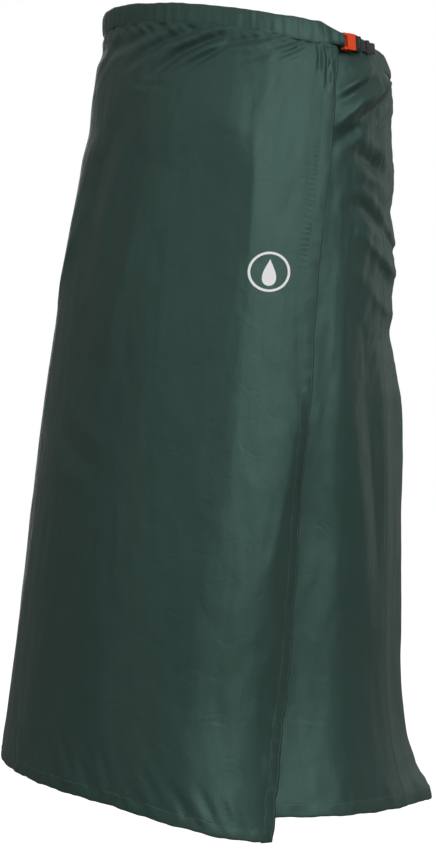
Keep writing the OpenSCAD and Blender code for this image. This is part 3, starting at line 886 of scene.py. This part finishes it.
outer_band = grid_object("outer_band", 330, 26,
                         band_place(-90, 74.0, middle_of_outer, depth_of_outer, 51, no_folds),
                         shell_fold, (0.40, 0.045), tube=True)
under_band = grid_object("under_band", 170, 26,
                         band_place(10, 100, middle_of_under, depth_of_under, 61, under_band_folds),
                         shell_fold, (0.21, 0.045), tube=True)
back_band = grid_object("back_band", 330, 26,
                        band_place(-260, -90, middle_of_under, depth_of_under, 51, back_band_folds),
                        shell_fold, (0.41, 0.045), tube=True)

# %% [markdown]
# A hem and a facing are folds of the same cloth. Seen from outside each is a slightly thicker strip with a
# rounded edge, so each is a flat tube that wraps round the panel's own edge and follows its relief.

# %% Hems and facings
def strip_loop(v, width, depth, past=0.5):
    """The loop round a folded strip: distance in from the edge, and distance out of the panel."""
    turn = v * 2 * math.pi
    inwards = (np.cos(turn) * 0.5 + 0.5) * (width + past) - past
    out = squared(np.sin(turn), 0.6) * depth
    return inwards, out


def hem_place(first, last, bottom, point, seed, depth=0.45):
    def place(u, v):
        a = first + (last - first) * u
        up, out = strip_loop(v, 11.5, depth)
        rough = 0.22 * crumple(a * MM_A / 5, up / 9, seed) * np.abs(out) / depth
        return point(a, bottom(a) + up, out - 0.18 + rough)
    return place


outer_hem_fold = grid_object("outer_hem_fold", 300, 14, hem_place(-90, 52.2, outer_hem_z, outer_point, 71),
                             shell_fold, (0.45, 0.026), tube=True)
under_hem_fold = grid_object("under_hem_fold", 150, 14, hem_place(14, 100, back_hem_z, under_point, 73),
                             shell_fold, (0.27, 0.026), tube=True)
back_hem_fold = grid_object("back_hem_fold", 300, 14, hem_place(-260, -90, back_hem_z, back_point, 75),
                            shell_fold, (0.5, 0.026), tube=True)


def outer_facing_place(u, v):
    t = 1 - u
    top = waist_z(wavy_edge_a(t)) - BAND_H + 1
    z = top + (outer_hem_z(wavy_edge_a(t)) - top) * t
    inwards, out = strip_loop(v, 11, 0.42)
    a = wavy_edge_a(t) - inwards / mm_per_degree(wavy_edge_a(t), z)
    rough = 0.25 * crumple(z / 4.5, inwards / 8, 77) * np.abs(out)
    return outer_point(a, z, out - 0.18 + rough)


def under_facing_place(u, v):
    top = waist_z(10.0) - BAND_H + 1
    z = top + (back_hem_z(10.0) - top) * u
    inwards, out = strip_loop(v, 11, 0.7)
    a = 10 + inwards / mm_per_degree(10.0, z)
    return under_point(a, z, out - 0.18)


outer_facing = grid_object("outer_facing", 330, 14, outer_facing_place, shell_fold, (0.71, 0.024), tube=True)
under_facing = grid_object("under_facing", 160, 12, under_facing_place, shell_fold, (0.70, 0.024), tube=True)
for piece in (outer_hem_fold, under_hem_fold, back_hem_fold, outer_facing, under_facing):
    face_outwards(piece)
print("folded edges made")

# %% [markdown]
# Topstitching is thread that lies on the cloth in short even lengths. Each stitch is a tiny six-sided spindle
# laid along its line; a whole seam is one piece. The pitch is 3 mm, usual for a light shell. The very edge is
# overcast in a thicker thread, and its pale colour is a painted highlight along the edge.

# %% Stitching
def stitch_line(name, points, finish, pitch, length, radius):
    """Spindles along a line of points in millimetres, all in one mesh."""
    points = np.asarray(points)
    run = distance_along(points)
    mesh = bmesh.new()
    count = int(run[-1] / pitch)
    for k in range(count):
        ends = [np.array([np.interp(k * pitch + at, run, points[:, i]) for i in range(3)])
                for at in (0.4, 0.4 + length)]
        middle, along = Vector((ends[0] + ends[1]) / 2), Vector(ends[1] - ends[0])
        turn = along.to_track_quat("Z", "Y").to_matrix().to_4x4()
        bmesh.ops.create_icosphere(mesh, subdivisions=1, radius=1,
                                   matrix=Matrix.Translation(middle / 1000) @ turn
                                   @ Matrix.Diagonal((radius / 1000, radius / 1000, length / 1900, 1)))
    print(name, count, "stitches")
    return finished(name, mesh, finish)


steps = np.linspace(0, 1, 600)
BAND_LOW = 1.9
HEM_UP = 10.2


def band_face(a, z, centre, seed, folds=no_folds, lift=0.1):
    """A point on the outside wall of a waistband, for thread that lies on it."""
    height = z - (waist_z(a) - BAND_H / 2)
    up = np.clip(np.abs(height) / (BAND_H / 2), 0, 1) ** (1 / 0.55) * np.sign(height)
    out = np.sqrt(np.clip(1 - up * up, 0, 1))
    return body_point(a, z, centre(a) + 1.75 * out**0.7 + band_gather(a, height, seed) * out
                      + 0.3 * crumple(a * MM_A / 30, 0 * a, seed + 4) + folds(a, z) + lift)


def band_line(first, last, centre, seed, folds=no_folds):
    a = first + (last - first) * steps
    return band_face(a, waist_z(a) - BAND_H + BAND_LOW, centre, seed, folds)


def hem_line(first, last, bottom, point):
    a = first + (last - first) * steps
    return point(a, bottom(a) + HEM_UP, 0.38)


stitches = {
    "outer_band_stitch": (band_line(-88, 67, middle_of_outer, 51), "blend"),
    "outer_hem_stitch": (hem_line(-88, 51.5, outer_hem_z, outer_point), "blend"),
    "under_band_stitch": (band_line(12, 99, middle_of_under, 61, under_band_folds), "back"),
    "under_hem_stitch": (hem_line(12, 99, back_hem_z, under_point), "back"),
    "back_band_stitch": (band_line(-259, -91, middle_of_under, 51, back_band_folds), "back"),
    "back_hem_stitch": (hem_line(-259, -91, back_hem_z, back_point), "back"),
}
free_a = wavy_edge_a(steps)
free_z = (waist_z(free_a) - BAND_H - 1) * (1 - steps) + (outer_hem_z(free_a) + 3) * steps
for name, inwards in (("edge_stitch_inner", 9.6), ("edge_stitch_outer", 1.1)):
    a = free_a - inwards / mm_per_degree(free_a, free_z)
    stitches[name] = (outer_point(a, free_z, 0.36), "outer")
thread_pieces = {}
for name, (line, rides_on) in stitches.items():
    thread, pitch, radius = thread_green, 3.1, 0.2
    # the edge thread is paler: a painted highlight along the edge
    if name == "edge_stitch_outer":
        thread, pitch, radius = thread_edge_highlight, 2.6, 0.32
    thread_pieces[name] = (stitch_line(name, line, thread, pitch, 2.2, radius), rides_on)

# %% [markdown]
# The waistband webbing comes out of the band's end, goes round the socket's bar and back. On the other side
# it comes out of a stitched slot, passes under the plug, over its middle bar and back under its end bar,
# and its loose tail lies behind. Each strap is a path in the buckle's own plane, given the webbing's width.

# %% Straps
BUCKLE_AT = np.array([152.0, -20.3, -20.6])
BUCKLE_TURN, BUCKLE_TILT = 82, -8
turn_z, tilt_x = math.radians(BUCKLE_TURN), math.radians(BUCKLE_TILT)
BUCKLE_X = np.array([math.cos(turn_z), math.sin(turn_z), 0])
flat_y = np.array([-math.sin(turn_z), math.cos(turn_z), 0])
BUCKLE_Y = flat_y * math.cos(tilt_x) + np.array([0, 0, math.sin(tilt_x)])
BUCKLE_Z = np.array([0, 0, math.cos(tilt_x)]) - flat_y * math.sin(tilt_x)


def by_buckle(x, y, z):
    """A point from the buckle's own axes: x along its pull, y towards the body, z up, in millimetres."""
    outer = np.multiply.outer
    return BUCKLE_AT + outer(x, BUCKLE_X) + outer(y, BUCKLE_Y) + outer(z, BUCKLE_Z)


def smooth_path(points, count=90):
    """More points along a drawn path, rounded by a spline through its corners."""
    p = np.array(points, float)
    run = distance_along(p)
    fine = np.linspace(0, run[-1], count * 3)
    path = np.stack([np.interp(fine, run, p[:, i]) for i in range(p.shape[1])], -1)
    for _ in range(14):
        path[1:-1] = (path[:-2] + 2 * path[1:-1] + path[2:]) / 4
    return path[::3]


def strap(name, path, width, thickness, finish):
    """A flat strap along a path of (x, y) in the buckle's plane."""
    path = smooth_path(path)
    tangent = np.gradient(path, axis=0)
    tangent /= np.linalg.norm(tangent, axis=1, keepdims=True)
    normal = np.stack([tangent[:, 1], -tangent[:, 0]], -1)
    run = distance_along(path)

    def place(u, v):
        turn = v * 2 * math.pi
        z = squared(np.sin(turn), 0.35) * width / 2
        off = squared(np.cos(turn), 0.5) * thickness / 2
        at = u * run[-1]
        x = np.interp(at, run, path[:, 0]) + off * np.interp(at, run, normal[:, 0])
        y = np.interp(at, run, path[:, 1]) + off * np.interp(at, run, normal[:, 1])
        return by_buckle(x, y, z)

    piece = grid_object(name, len(path), 24, place, finish, (run[-1] / 1000, 2 * width / 1000), tube=True)
    face_outwards(piece)
    return piece


WEBBING = 10
ROUND_SOCKET_BAR = [(-26, 9.6), (-20, 8.2), (-16.6, 6.0), (-14.9, 3.2), (-13.2, 2.1), (-11.7, 1.2),
                    (-11.5, 0), (-11.7, -1.2), (-13.0, -2.0), (-14.2, -1.3), (-15.2, 1.2), (-16.0, 4.2),
                    (-19.5, 6.8), (-26, 8.2)]
THROUGH_PLUG_BARS = [(9.3, 2.05), (8.2, 2.05), (7.3, 2.1), (6.8, 1.5), (6.8, -1), (6.2, -1.95), (5.1, -2.15),
                     (4, -1.95), (3.4, -1), (3.4, 1.6), (3.9, 2.8), (4.8, 3.25), (9, 3.35), (11.5, 4.1),
                     (15, 6.1), (18, 7.0)]
TAIL_END = [(-1.2, -0.05), (6, 0), (14, 0), (19.6, -0.1), (20.8, 0.5), (19.8, 1.1), (16.8, 1.1)]
socket_strap = strap("socket_strap", ROUND_SOCKET_BAR, WEBBING, 1.1, webbing_grey)
plug_strap = strap("plug_strap", THROUGH_PLUG_BARS, WEBBING, 1.1, webbing_grey)
tail_in, tail_turn = (11.1, 2.0), math.radians(3.4)


def on_tail(points):
    """Points along the loose tail, which leaves the plug at a small angle."""
    return [(tail_in[0] + x * math.cos(tail_turn) - y * math.sin(tail_turn),
             tail_in[1] + x * math.sin(tail_turn) + y * math.cos(tail_turn)) for x, y in points]


tail = strap("tail", on_tail(TAIL_END), WEBBING, 1.05, webbing_grey)

# %% [markdown]
# The buckle's plastic parts have exactly the right shape already, but moulded plastic has no knife edges. So
# each is copied, its loose triangles are merged into faces, and its edges are rounded with a small bevel.

# %% Moulded parts
def rounded_copy(name, node, radius, finish):
    """A copy of a moulded part's mesh, with every sharp edge rounded to a radius in millimetres."""
    mesh = bmesh.new()
    mesh.from_mesh(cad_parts[node].data)
    bmesh.ops.remove_doubles(mesh, verts=mesh.verts, dist=1e-6)
    bmesh.ops.dissolve_limit(mesh, angle_limit=math.radians(2), verts=mesh.verts, edges=mesh.edges)
    sharp = [e for e in mesh.edges if len(e.link_faces) == 2 and e.calc_face_angle(0) > math.radians(35)]
    bmesh.ops.bevel(mesh, geom=sharp, offset=radius / 1000, offset_type="OFFSET", segments=2, profile=0.5,
                    affect="EDGES", clamp_overlap=True, material=-1)
    piece = finished(name, mesh, finish)
    piece.modifiers.new("weighted", "WEIGHTED_NORMAL").keep_sharp = True
    print(name, len(piece.data.polygons), "faces")
    return piece


socket = rounded_copy("socket", "buckle_socket", 0.35, orange_plastic)
plug = rounded_copy("plug", "buckle_plug", 0.25, dark_plastic)
arm_upper = rounded_copy("arm_upper", "plug_arm_upper", 0.2, dark_plastic)
arm_lower = rounded_copy("arm_lower", "plug_arm_lower", 0.2, dark_plastic)
keeper_loop = rounded_copy("keeper_loop", "tail_keeper", 0.25, elastic_grey)

# %% [markdown]
# The printed mark is a raindrop in a ring, laid on the outer panel. It is made flat, then each of its points
# is moved to the same place on the cloth, so it follows every ripple below it.

# %% Printed mark
MARK_A, MARK_Z = 48.2, -235.0
RING_OUTSIDE, RING_INSIDE = 18, 15.8


def print_point(x, y, lift):
    """A flat point of the mark, in millimetres from its middle, laid on the outer panel."""
    return outer_point(MARK_A + x / mm_per_degree(MARK_A, MARK_Z), MARK_Z + y, 0.05 + lift)


mark = bmesh.new()
bmesh.ops.create_circle(mark, cap_ends=False, radius=RING_OUTSIDE, segments=96)
bmesh.ops.create_circle(mark, cap_ends=False, radius=RING_INSIDE, segments=96)
bmesh.ops.bridge_loops(mark, edges=mark.edges[:])
drop = bmesh.ops.create_circle(mark, cap_ends=True, radius=1, segments=48)
for k, vert in enumerate(drop["verts"]):
    t = 2 * math.pi * k / 48
    vert.co = (8.4 * math.sin(t) * math.sin(t / 2) ** 1.4, 12.0 * math.cos(t) - 0.6, 0)
bmesh.ops.triangulate(mark, faces=[f for f in mark.faces if len(f.verts) > 4])
bmesh.ops.subdivide_edges(mark, edges=mark.edges[:], cuts=2, use_grid_fill=True)
bmesh.ops.recalc_face_normals(mark, faces=mark.faces)
grown = bmesh.ops.extrude_face_region(mark, geom=list(mark.faces))
for vert in [g for g in grown["geom"] if isinstance(g, bmesh.types.BMVert)]:
    vert.co.z = 0.14
flat = np.array([v.co[:] for v in mark.verts])
for vert, co in zip(mark.verts, print_point(flat[:, 0], flat[:, 1], flat[:, 2]) / 1000):
    vert.co = co
bmesh.ops.recalc_face_normals(mark, faces=mark.faces)
printed_mark = finished("printed_mark", mark, white_print, smooth=False)
print("printed mark", len(printed_mark.data.polygons), "faces")

# %% [markdown]
# Small sewn things: the tapes that seal the side seams inside, the hook and loop strips that hold the lap, a
# blank label, the hanging loop, and the bartack that anchors the webbing. A bartack is a dense zigzag.

# %% Tapes, label and hanging loop
def seam_tape_place(centre, point_of):
    """A strip 9.5 mm wide down a seam, on the inside of the cloth."""
    def place(u, v):
        t = 1 - v
        top = waist_z(centre) - BAND_H - 0.5
        z = top + (back_hem_z(np.array(centre)) + 12 - top) * t
        a = centre + (u - 0.5) * 9.5 / mm_per_degree(centre, z)
        return point_of(a, z)
    return place


def left_inside(a, z):
    """Just inside the left seam: the under panel on one side of it and the back panel on the other."""
    under = under_point(np.minimum(a, 100), z, -0.9)
    back = back_point(np.maximum(a, 100) - 360, z, -0.9)
    return np.where((a <= 100)[..., None], under, back)


def right_inside(a, z):
    return back_point(np.minimum(a, -90.02), z, -0.9)


left_tape = grid_object("left_tape", 12, 120, seam_tape_place(100.0, left_inside), tape_green,
                        (0.0095, 0.68), 0.15)
right_tape = grid_object("right_tape", 10, 120, seam_tape_place(-92.2, right_inside), tape_green,
                         (0.0095, 0.66), 0.15)


def tape_place(point, lift, start, width):
    """A strip beside the free edge, its near side start millimetres in from it."""
    def place(u, v):
        t = 0.14 + 0.2 * (1 - v)
        a0 = edge_a(t)
        z = (waist_z(a0) - BAND_H) * (1 - t) + outer_hem_z(a0) * t
        a = a0 - (start + width * (1 - u)) / mm_per_degree(a0, z)
        return point(a, z, lift)
    return place


hook_strip = grid_object("hook_strip", 14, 90, tape_place(outer_point, -1.5, 12.5, 16), hook_fuzz,
                         (0.016, 0.14), -0.9)
loop_strip = grid_object("loop_strip", 14, 90, tape_place(under_point, 0.2, 12.5, 16), hook_fuzz,
                         (0.016, 0.14), -0.9)


def label_place(u, v):
    """A blank label that hangs from the waistband's seam and curls at its free end."""
    a = -214 + 12 * u
    z = waist_z(a) - BAND_H + 2 - 46 * (1 - v)
    curl = 1.4 * np.sin(u * math.pi) * (1 - v) + 1.6 * (1 - v) ** 2
    return body_point(a, z, back_relief(a, z) - 1.6 - curl)


care_label = grid_object("care_label", 20, 26, label_place, label_cloth, (0.03, 0.045), 0.3)


def loop_place(u, v):
    """A 9 mm webbing loop that hangs inside the back of the waistband."""
    turn = math.pi * u
    x, drop_z = 14.5 * np.cos(turn), -15.5 * np.sin(turn) ** 0.8
    around = v * 2 * math.pi
    half = squared(np.cos(around), 0.4) * 4.2
    thick = np.sin(around) * 0.55
    y = along_rows(np.array(25.0), 1) * along_rows(np.array(25.0), 2) - 5.9
    radial = np.stack([np.cos(turn), np.sin(turn)], -1)
    return np.stack([x + half * radial[..., 0], y + thick + 0 * x,
                     -34.7 + 5.5 + drop_z - half * radial[..., 1]], -1)


hanging_loop = grid_object("hanging_loop", 60, 16, loop_place, webbing_grey, (0.05, 0.02), tube=True)
zigzag = np.linspace(0, 1, 60)
tack_a = 40.8 + 4.7 * zigzag
tack_z = waist_z(tack_a) - BAND_H + 2.3 + 1.5 * np.where(np.arange(60) % 2, 1, -1)
bartack = stitch_line("bartack", band_face(tack_a, tack_z, middle_of_outer, 51, lift=0.3), thread_green,
                      1.1, 1.5, 0.26)

# %% [markdown]
# Now the pieces are tied to bodies of the moving model. The outer panel, its band, hem and the stitching on
# them cross the side seam; they are only baked in place and tied to no body. What sits well beyond the seam
# rides.


def bends(piece):
    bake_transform(piece)


def rides(piece, body, slot):
    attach(piece, body)


for piece in (outer_cloth, outer_band, outer_hem_fold):
    bends(piece)
for piece in (under_cloth, back_cloth, under_band, back_band, under_hem_fold, back_hem_fold, under_facing):
    rides(piece, "skirt_back", "nylon")
rides(outer_facing, "outer_wrap", "nylon")
for piece, how in thread_pieces.values():
    if how == "blend":
        bends(piece)
    else:
        rides(piece, "skirt_back" if how == "back" else "outer_wrap", "thread")
RIDERS = [
    (socket_strap, "outer_wrap", "webbing"), (socket, "outer_wrap", "socket_plastic"),
    (printed_mark, "outer_wrap", "print"), (hook_strip, "outer_wrap", "fastening_tape"),
    (bartack, "outer_wrap", "thread"), (plug_strap, "skirt_back", "webbing"),
    (plug, "skirt_back", "plug_plastic"), (arm_upper, "plug_arm_upper", "plug_plastic"),
    (arm_lower, "plug_arm_lower", "plug_plastic"), (tail, "webbing_tail", "webbing"),
    (keeper_loop, "tail_keeper", "elastic"), (loop_strip, "skirt_back", "fastening_tape"),
    (left_tape, "skirt_back", "seam_tape"), (right_tape, "skirt_back", "seam_tape"),
    (care_label, "skirt_back", "label"), (hanging_loop, "skirt_back", "webbing")]
for piece, body, slot in RIDERS:
    rides(piece, body, slot)
STANDS_FOR = [
    (outer_cloth, "outer_wrap_panel"), (outer_band, "outer_waistband"), (outer_hem_fold, "outer_hem"),
    (outer_facing, "outer_edge_facing"), (under_cloth, "under_wrap_panel"), (back_cloth, "back_panel"),
    (under_band, "under_waistband"), (back_band, "back_waistband"), (under_hem_fold, "under_hem"),
    (back_hem_fold, "back_hem"), (under_facing, "under_edge_facing"),
    (socket_strap, "front_webbing", "socket_loop"), (socket, "buckle_socket"),
    (printed_mark, "front_emblem"), (hook_strip, "hook_tape"), (bartack, "webbing_bartack"),
    (plug_strap, "back_webbing"), (plug, "buckle_plug"), (arm_upper, "plug_arm_upper"),
    (arm_lower, "plug_arm_lower"), (tail, "webbing_tail"), (keeper_loop, "tail_keeper"),
    (loop_strip, "loop_tape"), (left_tape, "left_seam_tape"), (right_tape, "right_seam_tape"),
    (care_label, "care_label"), (hanging_loop, "hang_loop")]
for piece, *nodes in STANDS_FOR:
    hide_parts(*nodes)
